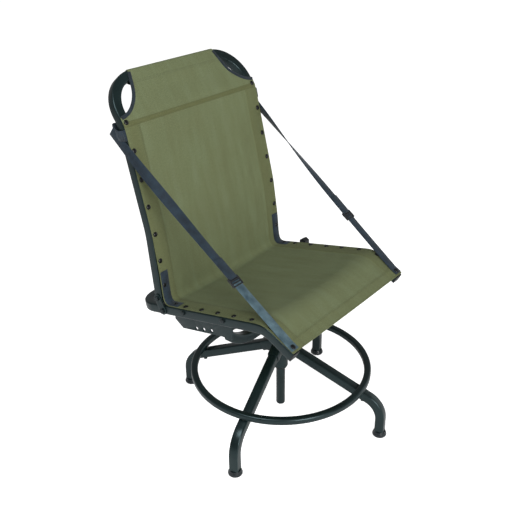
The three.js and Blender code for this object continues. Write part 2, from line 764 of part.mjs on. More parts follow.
// The strap's centre, and the direction of its width, at a fraction of its length.
function strapStation(s, t) {
  const drift = Math.min(t / 0.82, 1);
  const centre = vec(
    s * (strapFoot.x + (strapHead.x - strapFoot.x) * drift),
    strapFoot.y + (strapHead.y - strapFoot.y) * t,
    strapFoot.z + (strapHead.z - strapFoot.z) * t,
  );
  const turn = THREE.MathUtils.smoothstep(t, ...strapTwist) * (Math.PI / 2);
  const width = X.clone().multiplyScalar(-s * Math.cos(turn)).addScaledVector(strapUp, Math.sin(turn));
  return { centre, width };
}
function strap(s) {
  const stations = 24;
  const corners = [];
  for (let i = 0; i <= stations; i++) {
    const { centre, width } = strapStation(s, i / stations);
    const out = new THREE.Vector3().crossVectors(width, strapAlong).normalize();
    [[1, -1], [-1, -1], [-1, 1], [1, 1]].forEach(([a, b]) => {
      const corner = centre.clone().addScaledVector(width, (a * strapWidth) / 2);
      corners.push(...corner.addScaledVector(out, (b * strapThickness) / 2).toArray());
    });
  }
  const faces = [0, 2, 1, 0, 3, 2];
  for (let i = 0; i < stations; i++) {
    for (let side = 0; side < 4; side++) {
      const a = 4 * i + side;
      const b = 4 * i + ((side + 1) % 4);
      faces.push(a, b, b + 4, a, b + 4, a + 4);
    }
  }
  const last = 4 * stations;
  faces.push(last, last + 1, last + 2, last, last + 2, last + 3);
  return new THREE.BufferGeometry()
    .setAttribute("position", new THREE.Float32BufferAttribute(corners, 3))
    .setIndex(faces);
}
// A flat buckle, with a slot for the strap.
function buckle(s) {
  const { centre } = strapStation(s, buckleAlong);
  const up = new THREE.Vector3().crossVectors(X, strapAlong);
  const turn = new THREE.Matrix4().makeBasis(X, strapAlong, up);
  const onStrap = (geometry) => geometry.applyMatrix4(turn).translate(centre.x, centre.y, centre.z);
  const slotHalf = strapWidth / 2 + 1;
  const slotHeight = strapThickness / 2 + 0.4;
  const halfWidth = slotHalf + 2.5;
  const halfHeight = slotHeight + 1.6;
  const body = onStrap(box(-halfWidth, halfWidth, -11, 11, -halfHeight, halfHeight));
  return cut(body, onStrap(box(-slotHalf, slotHalf, -20, 20, -slotHeight, slotHeight)));
}
SIDES.forEach(([side, s]) => {
  place(seat, side + "_strap", strap(s), "webbing");
  place(seat, side + "_buckle", buckle(s), "plastic");
});

export default chair;
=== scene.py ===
import json
import math

import bmesh
import bpy
from mathutils import Matrix, Quaternion, Vector


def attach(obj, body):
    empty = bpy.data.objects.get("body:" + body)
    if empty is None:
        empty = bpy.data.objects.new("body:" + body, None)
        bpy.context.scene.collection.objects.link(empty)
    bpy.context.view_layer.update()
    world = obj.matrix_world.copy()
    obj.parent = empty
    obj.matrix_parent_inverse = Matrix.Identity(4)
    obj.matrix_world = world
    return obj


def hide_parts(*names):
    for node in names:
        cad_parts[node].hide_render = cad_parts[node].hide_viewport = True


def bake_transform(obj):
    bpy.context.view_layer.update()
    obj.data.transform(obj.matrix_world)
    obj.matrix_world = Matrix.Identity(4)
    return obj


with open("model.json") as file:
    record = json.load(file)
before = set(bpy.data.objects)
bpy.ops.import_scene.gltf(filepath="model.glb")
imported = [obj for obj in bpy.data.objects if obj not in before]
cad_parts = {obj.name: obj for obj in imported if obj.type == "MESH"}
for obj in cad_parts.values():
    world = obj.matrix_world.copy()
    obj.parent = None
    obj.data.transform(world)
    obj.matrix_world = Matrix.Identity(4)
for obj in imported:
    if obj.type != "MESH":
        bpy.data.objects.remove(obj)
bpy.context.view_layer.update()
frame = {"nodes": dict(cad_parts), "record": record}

MM = 0.001
RECORD = frame["record"]
BODY_OF = {node: body for body, nodes in RECORD["behaviour"]["bodies"].items() for node in nodes}
SLOT_OF = {part["node"]: part["material_slot"] for part in RECORD["subparts"]}
SIDES = (("left", -1), ("right", 1))
LEGS = ("front", "right", "rear", "left")
SIDE_X = Vector((1, 0, 0))


def rad(degrees):
    return math.radians(degrees)


def smoothstep(value, low, high):
    t = min(max((value - low) / (high - low), 0), 1)
    return t * t * (3 - 2 * t)


# ------------------------------------------------------------------ dimensions, in mm
TUBE = 25.4
HALF = TUBE / 2
TUBE_CORNER = 4
RAIL_X = 231
SEAT_SLOPE = 12.4
RAIL_Z = 415.1
FRONT_BEND_Y, FRONT_BEND, FRONT_RADIUS, FRONT_TAIL = -114.7, 40, 63, 68.4
REAR_BAR_Y, REAR_RADIUS = 300.6, 60
PIVOT_Y, PIVOT_Z = 216, 402
LEAN_LOW, LEAN_MID, LEAN_HEAD = 5.4, 13.5, 37.2
LOW_BEND_Z, LOW_RADIUS = 580, 300
HEAD_BEND_Z, HEAD_RADIUS = 852, 90
ARCH_RADIUS, ARCH_STRAIGHT = 89, 0.6
BASE_TURN = -165.3
LEG_SLOPE, LEG_Z_AT_AXIS, LEG_BEND_RADIUS = 23.6, 229, 65
FOOT_R, FOOT_TOP = 297.3, 16.3
RING_R, RING_Z, RING_TUBE, RING_CORNER = 243.4, 150.4, 19, 6
# half widths of the sling at the seat and at the head
SLING_HALF = 243
HEAD_HALF = 151
CLOTH = 1.5
CLOTH_TOP = HALF + 0.3 + CLOTH
JUNCTION_Y, JUNCTION_Z = 190, 397
# measured along the cloth, down from the top bar
HEAD_SEAM_BELOW_BAR = 118
SLEEVE_BELOW_BAR = 22
# how far the front hem reaches back, and how far out the side hems begin
HEM_FRONT, HEM_SIDE = 29.5, 196
# between the rails the cloth is free to sag
FREE_HALF = 214

# ------------------------------------------------------------------ materials


def srgb(r, g, b):
    def linear(c):
        c /= 255
        return c / 12.92 if c <= 0.04045 else ((c + 0.055) / 1.055) ** 2.4

    return (linear(r), linear(g), linear(b), 1)


class Shader:
    """A small builder of node materials."""

    def __init__(self, name, **sockets):
        self.material = bpy.data.materials.new(name)
        self.material.use_nodes = True
        self.nodes = self.material.node_tree.nodes
        self.links = self.material.node_tree.links
        self.surface = self.nodes["Principled BSDF"]
        for key, value in sockets.items():
            self.surface.inputs[key.replace("_", " ")].default_value = value

    def node(self, kind, **values):
        made = self.nodes.new(kind)
        for key, value in values.items():
            if hasattr(made, key):
                setattr(made, key, value)
            else:
                made.inputs[key.replace("_", " ")].default_value = value
        return made

    def link(self, a, b):
        self.links.new(a, b)

    def place(self, source="Object", scale=(1, 1, 1), turn=0):
        coords = self.node("ShaderNodeTexCoord")
        mapping = self.node("ShaderNodeMapping")
        mapping.inputs["Scale"].default_value = scale
        mapping.inputs["Rotation"].default_value = (0, 0, turn)
        self.link(coords.outputs[source], mapping.inputs["Vector"])
        return mapping.outputs["Vector"]

    def noise(self, where, scale, detail=3, roughness=0.5):
        made = self.node("ShaderNodeTexNoise", Scale=scale, Detail=detail, Roughness=roughness)
        self.link(where, made.inputs["Vector"])
        return made.outputs["Fac"]

    def wave(self, where, scale, direction="X", distortion=0.0):
        made = self.node("ShaderNodeTexWave", Scale=scale, Distortion=distortion)
        made.bands_direction = direction
        self.link(where, made.inputs["Vector"])
        return made.outputs["Fac"]

    def ramp(self, factor, stops):
        made = self.node("ShaderNodeValToRGB")
        elements = made.color_ramp.elements
        while len(elements) < len(stops):
            elements.new(0.5)
        for element, (position, color) in zip(elements, stops):
            element.position = position
            element.color = color
        self.link(factor, made.inputs["Fac"])
        return made.outputs["Color"]

    def math(self, operation, a, b):
        made = self.node("ShaderNodeMath", operation=operation)
        for socket, value in zip(made.inputs, (a, b)):
            if isinstance(value, (int, float)):
                socket.default_value = value
            else:
                self.link(value, socket)
        return made.outputs["Value"]

    def mix(self, factor, a, b, blend="MIX"):
        made = self.node("ShaderNodeMix", data_type="RGBA", blend_type=blend)
        for index, value in ((0, factor), (6, a), (7, b)):
            if isinstance(value, (int, float, tuple)):
                made.inputs[index].default_value = value
            else:
                self.link(value, made.inputs[index])
        return made.outputs[2]

    def bump(self, height, strength, distance):
        made = self.node("ShaderNodeBump", Strength=strength, Distance=distance)
        self.link(height, made.inputs["Height"])
        previous = self.surface.inputs["Normal"]
        if previous.is_linked:
            self.link(previous.links[0].from_socket, made.inputs["Normal"])
        self.link(made.outputs["Normal"], previous)

    def color(self, socket):
        self.link(socket, self.surface.inputs["Base Color"])

    def rough(self, factor, low, high):
        made = self.node("ShaderNodeMapRange")
        made.inputs["To Min"].default_value = low
        made.inputs["To Max"].default_value = high
        self.link(factor, made.inputs["Value"])
        self.link(made.outputs["Result"], self.surface.inputs["Roughness"])


def powder_coat():
    shader = Shader("frame_powder_coat", Specular_IOR_Level=0.5, Specular_Tint=(0.72, 0.95, 1, 1))
    where = shader.place()
    cloud = shader.noise(where, 14, 4)
    speck = shader.noise(where, 420, 2)
    base = shader.ramp(cloud, [(0.3, srgb(12, 22, 22)), (0.7, srgb(20, 33, 33))])
    dust = shader.ramp(speck, [(0.62, (0, 0, 0, 1)), (0.78, (1, 1, 1, 1))])
    shader.color(shader.mix(shader.math("MULTIPLY", dust, 0.25), base, srgb(46, 66, 66)))
    shader.rough(cloud, 0.24, 0.34)
    shader.bump(shader.noise(where, 900, 2), 0.15, 0.0003)
    return shader.material


def dark_metal(name, tone, low, high, metallic=0.7):
    shader = Shader(name, Metallic=metallic)
    where = shader.place()
    cloud = shader.noise(where, 60, 4)
    darker = tuple(c * 0.6 for c in tone[:3]) + (1,)
    shader.color(shader.ramp(cloud, [(0.3, darker), (0.7, tone)]))
    shader.rough(cloud, low, high)
    shader.bump(shader.noise(where, 700, 3), 0.15, 0.0002)
    return shader.material


def moulded(name, tone, low, high, grain=600):
    shader = Shader(name)
    where = shader.place()
    cloud = shader.noise(where, 35, 3)
    darker = tuple(c * 0.7 for c in tone[:3]) + (1,)
    shader.color(shader.ramp(cloud, [(0.3, darker), (0.75, tone)]))
    shader.rough(cloud, low, high)
    shader.bump(shader.noise(where, grain, 2), 0.3, 0.0003)
    return shader.material


def woven_fabric(name, tones, seams=None, threads_per_metre=260):
    """Woven cloth; seams are (front hem, side hem, cross seam) in metres along its own faces."""
    shader = Shader(name, Sheen_Weight=0.06, Sheen_Roughness=0.5, Specular_IOR_Level=0.12)
    where = shader.place("UV")
    streaks = shader.noise(shader.place("UV", (34, 5, 1)), 1, 5, 0.62)
    clouds = shader.noise(where, 11, 3)
    fine = shader.noise(shader.place("UV", (900, 240, 1)), 1, 2)
    tint = shader.ramp(streaks, [(0.32, tones[0]), (0.5, tones[1]), (0.66, tones[2])])
    tint = shader.mix(shader.math("MULTIPLY", clouds, 0.5), tint, tones[3])
    if seams:
        front, side, seam = seams
        parts = shader.node("ShaderNodeSeparateXYZ")
        shader.link(where, parts.inputs[0])
        across = shader.math("ABSOLUTE", parts.outputs["X"], 0)
        along = parts.outputs["Y"]
        below_seam = shader.math("LESS_THAN", along, seam + 0.003)
        at_side = shader.math("MULTIPLY", shader.math("GREATER_THAN", across, side), below_seam)
        at_front = shader.math("LESS_THAN", along, front)
        from_seam = shader.math("ABSOLUTE", shader.math("SUBTRACT", along, seam), 0)
        at_seam = shader.math("LESS_THAN", from_seam, 0.0065)
        side_hem = shader.math("MULTIPLY", at_side, 0.42)
        front_hem = shader.math("MULTIPLY", at_front, 0.2)
        cross_seam = shader.math("MULTIPLY", at_seam, 0.7)
        hems = shader.math("MAXIMUM", side_hem, front_hem)
        tint = shader.mix(shader.math("MAXIMUM", hems, cross_seam), tint, tones[4])
    warp = shader.wave(where, threads_per_metre, "X")
    weft = shader.wave(where, threads_per_metre, "Y")
    weave = shader.math("MULTIPLY", warp, weft)
    depth = shader.ramp(weave, [(0.0, (0.76, 0.76, 0.76, 1)), (0.8, (1.1, 1.1, 1.1, 1))])
    tint = shader.mix(1.0, tint, depth, "MULTIPLY")
    speckle = shader.ramp(fine, [(0.35, (0.86, 0.86, 0.86, 1)), (0.7, (1.12, 1.12, 1.12, 1))])
    shader.color(shader.mix(1.0, tint, speckle, "MULTIPLY"))
    shader.rough(clouds, 0.82, 0.94)
    shader.bump(weave, 0.35, 0.0005)
    shader.bump(clouds, 0.2, 0.004)
    return shader.material


def ribbed_webbing(name, dark, light):
    shader = Shader(name, Sheen_Weight=0.2, Sheen_Roughness=0.45, Specular_IOR_Level=0.3)
    where = shader.place("UV")
    ribs = shader.wave(where, 150, "Y")
    cords = shader.wave(where, 100, "X")
    cloud = shader.noise(where, 40, 4)
    tint = shader.ramp(cloud, [(0.3, dark), (0.75, light)])
    lit = shader.ramp(ribs, [(0.1, (0.6, 0.6, 0.6, 1)), (0.9, (1.15, 1.15, 1.15, 1))])
    shader.color(shader.mix(1.0, tint, lit, "MULTIPLY"))
    shader.rough(cloud, 0.62, 0.8)
    shader.bump(ribs, 0.5, 0.0006)
    shader.bump(cords, 0.25, 0.0004)
    return shader.material


FRAME = powder_coat()
STEEL = dark_metal("blackened_steel", srgb(58, 66, 68), 0.3, 0.5)
BRIGHT = dark_metal("bearing_steel", srgb(150, 152, 155), 0.25, 0.4, 1.0)
PLASTIC = moulded("black_plastic", srgb(30, 32, 34), 0.38, 0.55)
RUBBER = moulded("foot_rubber", srgb(30, 38, 42), 0.2, 0.32, 300)
# three tones of the streaks, the clouds over them, and the doubled cloth of the hems
OLIVE_TONES = (
    srgb(112, 120, 86),
    srgb(117, 127, 92),
    srgb(122, 133, 99),
    srgb(111, 113, 78),
    srgb(100, 102, 64),
)
SLEEVE_TONES = (srgb(102, 107, 71), srgb(107, 114, 77), srgb(112, 120, 84), srgb(101, 102, 67))
OLIVE_DARK = woven_fabric("olive_sleeve", SLEEVE_TONES)
WEBBING = ribbed_webbing("webbing", srgb(24, 36, 46), srgb(40, 58, 72))
# a lighter, bluish copy of the same webbing: a painted sheen of light on the near strap
SHEEN_WEBBING = ribbed_webbing("webbing_painted_sheen", srgb(50, 72, 82), srgb(100, 126, 136))
BINDING = ribbed_webbing("binding_tape", srgb(22, 32, 40), srgb(38, 52, 62))
THREAD = moulded("thread", srgb(70, 74, 52), 0.6, 0.75)
RIVET = dark_metal("black_rivet", srgb(24, 25, 27), 0.22, 0.36, 0.4)

# ------------------------------------------------------------------ meshes


def finish_mesh(name, mesh, materials, body=None, replaces=(), angle=38):
    """Puts a mesh in millimetres into the scene as a piece."""
    mesh.transform(Matrix.Scale(MM, 4))
    solid = bmesh.new()
    solid.from_mesh(mesh)
    bmesh.ops.recalc_face_normals(solid, faces=solid.faces)
    solid.to_mesh(mesh)
    solid.free()
    mesh.shade_smooth()
    mesh.set_sharp_from_angle(angle=rad(angle))
    for material in materials:
        mesh.materials.append(material)
    piece = bpy.data.objects.new(name, mesh)
    bpy.context.scene.collection.objects.link(piece)
    if replaces:
        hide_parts(*replaces)
    if body:
        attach(piece, body)
    return piece


def mesh_from(name, points, faces, uvs=None):
    mesh = bpy.data.meshes.new(name)
    mesh.from_pydata([tuple(p) for p in points], [], faces)
    if uvs:
        layer = mesh.uv_layers.new(name="UVMap")
        for loop in mesh.loops:
            layer.data[loop.index].uv = uvs[loop.vertex_index]
    return mesh


def join_meshes(name, meshes):
    joined = bmesh.new()
    for mesh in meshes:
        joined.from_mesh(mesh)
    result = bpy.data.meshes.new(name)
    joined.to_mesh(result)
    joined.free()
    return result


class Pen:
    """Draws straights and bends, and carries the tube's own side direction with it."""

    def __init__(self, start, heading, side=SIDE_X):
        self.at = Vector(start)
        self.heading = Vector(heading).normalized()
        self.side = Vector(side).normalized()
        self.stations = []
        self.mark()

    def mark(self):
        self.stations.append((self.at.copy(), self.heading.copy(), self.side.copy()))

    def straight(self, length, steps=1):
        for _ in range(steps):
            self.at = self.at + self.heading * (length / steps)
            self.mark()
        return self

    def bend(self, degrees, radius, axis, steps):
        unit = Vector(axis).normalized() * (1 if degrees > 0 else -1)
        centre = self.at + unit.cross(self.heading) * radius
        turn = Quaternion(unit, rad(abs(degrees)) / steps)
        for _ in range(steps):
            self.at = centre + turn @ (self.at - centre)
            self.heading = turn @ self.heading
            self.side = turn @ self.side
            self.mark()
        return self


def rounded_section(width, height, corner, steps=4):
    points = []
    for quarter in range(4):
        for i in range(steps + 1):
            angle = rad(90 * quarter) + rad(90) * i / steps
            cx = (width / 2 - corner) * (1 if quarter in (0, 3) else -1)
            cy = (height / 2 - corner) * (1 if quarter in (0, 1) else -1)
            points.append((cx + corner * math.cos(angle), cy + corner * math.sin(angle)))
    return points


def sweep(name, stations, section, closed=False, uvs=False):
    """A solid of one section along the stations (point, heading, side)."""
    points = []
    coords = []
    travelled = 0
    last = None
    for at, heading, side in stations:
        up = heading.cross(side)
        if last is not None:
            travelled += (at - last).length
        last = at
        girth = 0
        for k, (a, b) in enumerate(section):
            points.append(at + side * a + up * b)
            if k:
                girth += math.dist(section[k], section[k - 1])
            coords.append((girth * MM, travelled * MM))
    n = len(section)
    rows = len(stations)
    faces = []
    for i in range(rows if closed else rows - 1):
        j = (i + 1) % rows
        for k in range(n):
            m = (k + 1) % n
            faces.append((i * n + k, i * n + m, j * n + m, j * n + k))
    if not closed:
        faces.append(tuple(range(n))[::-1])
        faces.append(tuple((rows - 1) * n + k for k in range(n)))
    return mesh_from(name, points, faces, coords if uvs else None)


def turned(name, profile, steps=48):
    """A round solid about Z from (radius, height) pairs that start and end on the axis."""
    points = []
    faces = []
    inner = profile[1:-1]
    n = len(inner)
    for i in range(steps):
        angle = 2 * math.pi * i / steps
        points += [(r * math.cos(angle), r * math.sin(angle), z) for r, z in inner]
    points += [(0, 0, profile[0][1]), (0, 0, profile[-1][1])]
    for i in range(steps):
        j = (i + 1) % steps
        for k in range(n - 1):
            faces.append((i * n + k, j * n + k, j * n + k + 1, i * n + k + 1))
        faces.append((steps * n, j * n, i * n))
        faces.append((steps * n + 1, i * n + n - 1, j * n + n - 1))
    return mesh_from(name, points, faces)


def block(size, bevel, basis):
    """A box with rounded edges, placed by a matrix."""
    solid = bmesh.new()
    bmesh.ops.create_cube(solid, size=1)
    bmesh.ops.scale(solid, vec=size, verts=solid.verts)
    bmesh.ops.bevel(
        solid,
        geom=list(solid.edges),
        offset=bevel,
        offset_type="OFFSET",
        segments=3,
        profile=0.6,
        affect="EDGES",
    )
    mesh = bpy.data.meshes.new("block")
    solid.to_mesh(mesh)
    solid.free()
    mesh.transform(basis)
    return mesh


def basis_at(origin, x_axis, y_axis):
    x_axis = Vector(x_axis).normalized()
    y_axis = Vector(y_axis).normalized()
    z_axis = x_axis.cross(y_axis)
    matrix = Matrix((x_axis, y_axis, z_axis)).transposed().to_4x4()
    matrix.translation = Vector(origin)
    return matrix


def refined(node, material, width=0.8, segments=2):
    """A copy of a CAD node with its sharp edges rounded over, which replaces the node."""
    solid = bmesh.new()
    solid.from_mesh(frame["nodes"][node].data)
    bmesh.ops.scale(solid, vec=(1 / MM,) * 3, verts=solid.verts)
    bmesh.ops.remove_doubles(solid, verts=solid.verts, dist=0.01)
    bmesh.ops.dissolve_limit(solid, angle_limit=rad(1.5), verts=solid.verts, edges=solid.edges)
    sharp = [e for e in solid.edges if len(e.link_faces) == 2 and e.calc_face_angle(0) > rad(36)]
    bmesh.ops.bevel(
        solid,
        geom=sharp,
        offset=width,
        offset_type="OFFSET",
        segments=segments,
        profile=0.65,
        affect="EDGES",
        clamp_overlap=True,
    )
    mesh = bpy.data.meshes.new(node + "_finish")
    solid.to_mesh(mesh)
    solid.free()
    return finish_mesh(node + "_finish", mesh, [material], BODY_OF[node], [node])


# ------------------------------------------------------------------ camera, light and floor
def look_from(azimuth, elevation, roll, target, distance):
    a, e, r = rad(azimuth), rad(elevation), rad(roll)
    back = Vector((math.sin(a) * math.cos(e), -math.cos(a) * math.cos(e), math.sin(e)))
    right = Vector((math.cos(a), math.sin(a), 0))
    up = back.cross(right)
    x_axis = right * math.cos(r) + up * math.sin(r)
    y_axis = up * math.cos(r) - right * math.sin(r)
    matrix = Matrix((x_axis, y_axis, back)).transposed().to_4x4()
    matrix.translation = Vector(target) + back * distance
    return matrix


# angles in degrees (round from the front, up, roll); the rest in metres
VIEW_ANGLES = (-49.94, 27.96, -0.89)
VIEW_TARGET = (0.04033, 0.1181, 0.42)
VIEW_DISTANCE = 2.0331
VIEW_LENS = 50.04
VIEW_SHIFT = (-0.0025, 0.0002)

view = bpy.data.cameras.new("view")
view.sensor_fit = "AUTO"
view.sensor_width = 36
view.lens = VIEW_LENS
view.shift_x, view.shift_y = VIEW_SHIFT
view.clip_end = 50
camera = bpy.data.objects.new("view", view)
camera.matrix_world = look_from(*VIEW_ANGLES, VIEW_TARGET, VIEW_DISTANCE)
bpy.context.scene.collection.objects.link(camera)
bpy.context.scene.camera = camera


def area_light(name, place, aim, size, power, color=(1, 1, 1)):
    light = bpy.data.lights.new(name, "AREA")
    light.shape = "DISK"
    light.size = size
    light.energy = power
    light.color = color
    holder = bpy.data.objects.new(name, light)
    holder.location = place
    holder.rotation_euler = (Vector(aim) - Vector(place)).to_track_quat("-Z", "Y").to_euler()
    bpy.context.scene.collection.objects.link(holder)


area_light("key", (-1.3, -3.0, 1.35), (0, 0.1, 0.5), 1.6, 78)
area_light("fill", (2.4, -1.2, 1.0), (0, 0, 0.4), 2.0, 7)
area_light("overhead", (-1.5, -0.1, 2.6), (0, 0, 0.3), 1.3, 30, (0.94, 0.98, 1.0))



def glow(tree, socket, cast, seen):
    """Sets a strength: one value for the light it casts, another for how bright it looks."""
    rays = tree.nodes.new("ShaderNodeLightPath")
    level = tree.nodes.new("ShaderNodeMapRange")
    level.inputs["To Min"].default_value = cast
    level.inputs["To Max"].default_value = seen
    tree.links.new(rays.outputs["Is Camera Ray"], level.inputs["Value"])
    tree.links.new(level.outputs["Result"], socket)


# The backdrop and the floor look white, and light the chair more softly than they look.
world = bpy.data.worlds.new("studio")
world.use_nodes = True
backdrop = world.node_tree.nodes["Background"]
backdrop.inputs["Color"].default_value = (1, 1, 1, 1)
glow(world.node_tree, backdrop.inputs["Strength"], cast=0.22, seen=1.0)
bpy.context.scene.world = world
bpy.context.scene.view_settings.view_transform = "Standard"

FLOOR_HALF = 9
floor_corners = [(FLOOR_HALF * x, FLOOR_HALF * y, 0) for x, y in ((-1, -1), (1, -1), (1, 1), (-1, 1))]
floor_mesh = mesh_from("floor", floor_corners, [(0, 1, 2, 3)])
floor = bpy.data.objects.new("floor", floor_mesh)
floor_shader = Shader("pale_floor", Roughness=0.9, Specular_IOR_Level=0.1)
floor_shader.surface.inputs["Base Color"].default_value = (0.93, 0.93, 0.93, 1)
floor_shader.surface.inputs["Emission Color"].default_value = (1, 1, 1, 1)
floor_glow = floor_shader.surface.inputs["Emission Strength"]
glow(floor_shader.material.node_tree, floor_glow, cast=0.12, seen=0.85)
floor_mesh.materials.append(floor_shader.material)
bpy.context.scene.collection.objects.link(floor)

# ------------------------------------------------------------------ frame tubes
SLOPE_TAN = math.tan(rad(SEAT_SLOPE))
TAIL_CLIMB = FRONT_BEND - SEAT_SLOPE


def rail_z(y):
    return RAIL_Z - y * SLOPE_TAN


def rail_pen(x):
    arc_y = FRONT_RADIUS * (math.sin(rad(TAIL_CLIMB)) + math.sin(rad(SEAT_SLOPE)))
    arc_z = FRONT_RADIUS * (math.cos(rad(SEAT_SLOPE)) - math.cos(rad(TAIL_CLIMB)))
    start_y = FRONT_BEND_Y - arc_y - FRONT_TAIL * math.cos(rad(TAIL_CLIMB))
    start_z = rail_z(FRONT_BEND_Y) - arc_z - FRONT_TAIL * math.sin(rad(TAIL_CLIMB))
    return Pen((x, start_y, start_z), (0, math.cos(rad(TAIL_CLIMB)), math.sin(rad(TAIL_CLIMB))))


def leaning(degrees):
    return Vector((0, math.sin(rad(degrees)), math.cos(rad(degrees))))


LOW_TURN = LEAN_MID - LEAN_LOW
HEAD_TURN = LEAN_HEAD - LEAN_MID
LOW_REACH = LOW_RADIUS * math.tan(rad(LOW_TURN / 2))
HEAD_REACH = HEAD_RADIUS * math.tan(rad(HEAD_TURN / 2))
MID_LENGTH = (HEAD_BEND_Z - LOW_BEND_Z) / math.cos(rad(LEAN_MID)) - LOW_REACH - HEAD_REACH
ARCH_AXIS = Vector((0, math.cos(rad(LEAN_HEAD)), -math.sin(rad(LEAN_HEAD))))


def back_pen(x, start_z, steps=1):
    start_y = PIVOT_Y + (start_z - PIVOT_Z) * math.tan(rad(LEAN_LOW))
    pen = Pen((x, start_y, start_z), leaning(LEAN_LOW))
    pen.straight((LOW_BEND_Z - start_z) / math.cos(rad(LEAN_LOW)) - LOW_REACH, steps)
    pen.bend(-LOW_TURN, LOW_RADIUS, SIDE_X, 8)
    pen.straight(MID_LENGTH, steps)
    pen.bend(-HEAD_TURN, HEAD_RADIUS, SIDE_X, 10)
    return pen.straight(ARCH_STRAIGHT)


TOP_BAR = back_pen(0, PIVOT_Z).at + leaning(LEAN_HEAD) * ARCH_RADIUS


def seat_frame():
    normal = Vector((0, math.sin(rad(SEAT_SLOPE)), math.cos(rad(SEAT_SLOPE))))
    length = (REAR_BAR_Y - FRONT_BEND_Y) / math.cos(rad(SEAT_SLOPE)) - REAR_RADIUS
    pen = rail_pen(-RAIL_X).straight(FRONT_TAIL)
    pen.bend(-FRONT_BEND, FRONT_RADIUS, SIDE_X, 14).straight(length)
    pen.bend(-90, REAR_RADIUS, normal, 20).straight(2 * (RAIL_X - REAR_RADIUS))
    pen.bend(-90, REAR_RADIUS, normal, 20).straight(length)
    pen.bend(FRONT_BEND, FRONT_RADIUS, SIDE_X, 14).straight(FRONT_TAIL)
    mesh = sweep("seat_frame_finish", pen.stations, rounded_section(TUBE, TUBE, TUBE_CORNER))
    finish_mesh("seat_frame_finish", mesh, [FRAME], "seat", ["seat_frame"])


def back_frame():
    low_z = PIVOT_Z - 12 * math.cos(rad(LEAN_LOW))
    low_length = (LOW_BEND_Z - low_z) / math.cos(rad(LEAN_LOW)) - LOW_REACH
    pen = back_pen(-RAIL_X, low_z)
    pen.bend(90, ARCH_RADIUS, ARCH_AXIS, 24).straight(2 * (RAIL_X - ARCH_RADIUS))
    pen.bend(90, ARCH_RADIUS, ARCH_AXIS, 24).straight(ARCH_STRAIGHT)
    pen.bend(HEAD_TURN, HEAD_RADIUS, SIDE_X, 10).straight(MID_LENGTH)
    pen.bend(LOW_TURN, LOW_RADIUS, SIDE_X, 8).straight(low_length)
    mesh = sweep("back_frame_finish", pen.stations, rounded_section(TUBE, TUBE, TUBE_CORNER))
    finish_mesh("back_frame_finish", mesh, [FRAME], "back", ["back_frame"])


def trimmed(mesh, x):
    """Cuts a mesh off square beyond x on both sides, and closes the ends."""
    solid = bmesh.new()
    solid.from_mesh(mesh)
    for sign in (-1, 1):
        parts = list(solid.verts) + list(solid.edges) + list(solid.faces)
        cut = bmesh.ops.bisect_plane(
            solid, geom=parts, plane_co=(sign * x, 0, 0), plane_no=(sign, 0, 0), clear_outer=True
        )
        rim = [item for item in cut["geom_cut"] if isinstance(item, bmesh.types.BMEdge)]
        bmesh.ops.contextual_create(solid, geom=rim)
    solid.to_mesh(mesh)
    solid.free()


def cross_tube():
    height, flat, radius, bend = 318.4, 118, 132, 44
    end, spare = 213.4, 12
    arc_x = radius * math.sin(rad(bend))
    arc_z = radius * (1 - math.cos(rad(bend)))
    tail = (end + spare - flat - arc_x) / math.cos(rad(bend))
    start = (-end - spare, 0, height + arc_z + tail * math.sin(rad(bend)))
    pen = Pen(start, (math.cos(rad(bend)), 0, -math.sin(rad(bend))), (0, 1, 0))
    across = (0, -1, 0)
    pen.straight(tail).bend(bend, radius, across, 16).straight(2 * flat)
    pen.bend(bend, radius, across, 16).straight(tail)
    mesh = sweep("cross_tube_finish", pen.stations, rounded_section(TUBE, TUBE, TUBE_CORNER))
    trimmed(mesh, end)
    finish_mesh("cross_tube_finish", mesh, [FRAME], "seat", ["cross_tube"])


LEG_RISE = math.tan(rad(LEG_SLOPE))
LEG_START = 48
FOOT_PROFILE = [
    (0, 0), (14.5, 0), (17.6, 0.9), (19.2, 2.8), (19.5, 5.2), (19, 8),
    (17.8, 10.8), (16.7, 13), (16.2, 15), (15.6, 16), (0, 16),
]


def quarter_turn(k):
    return Matrix.Rotation(rad(BASE_TURN - 90 + 90 * k), 4, "Z")


def base_tubes():
    bend = 90 - LEG_SLOPE
    reach = LEG_BEND_RADIUS * math.tan(rad(bend / 2))
    corner = FOOT_R - reach * math.cos(rad(LEG_SLOPE))
    for k, side in enumerate(LEGS):
        heading = (0, math.cos(rad(LEG_SLOPE)), -math.sin(rad(LEG_SLOPE)))
        pen = Pen((0, LEG_START, LEG_Z_AT_AXIS - LEG_RISE * LEG_START), heading)
        pen.straight((corner - LEG_START) / math.cos(rad(LEG_SLOPE)))
        pen.bend(-bend, LEG_BEND_RADIUS, SIDE_X, 18)
        pen.straight(pen.at.z - FOOT_TOP)
        leg = sweep(side + "_leg_finish", pen.stations, rounded_section(TUBE, TUBE, TUBE_CORNER))
        leg.transform(quarter_turn(k))
        finish_mesh(side + "_leg_finish", leg, [FRAME], "base", [side + "_leg"])
        foot = turned(side + "_foot_finish", FOOT_PROFILE)
        foot.transform(quarter_turn(k) @ Matrix.Translation((0, FOOT_R, 0)))
        finish_mesh(side + "_foot_finish", foot, [RUBBER], "base", [side + "_foot"])
    steps = 128
    ring = []
    for i in range(steps):
        angle = 2 * math.pi * i / steps
        out = Vector((math.cos(angle), math.sin(angle), 0))
        ring.append((out * RING_R + Vector((0, 0, RING_Z)), Vector((-out.y, out.x, 0)), out))
    section = rounded_section(RING_TUBE, RING_TUBE, RING_CORNER, 6)
    mesh = sweep("footrest_ring_finish", ring, section, closed=True)
    finish_mesh("footrest_ring_finish", mesh, [FRAME], "base", ["footrest_ring"])


seat_frame()
back_frame()
cross_tube()
base_tubes()

# ------------------------------------------------------------------ the sling, one sheet
SEAT_END_Y = 170
BACK_START_Z = 462
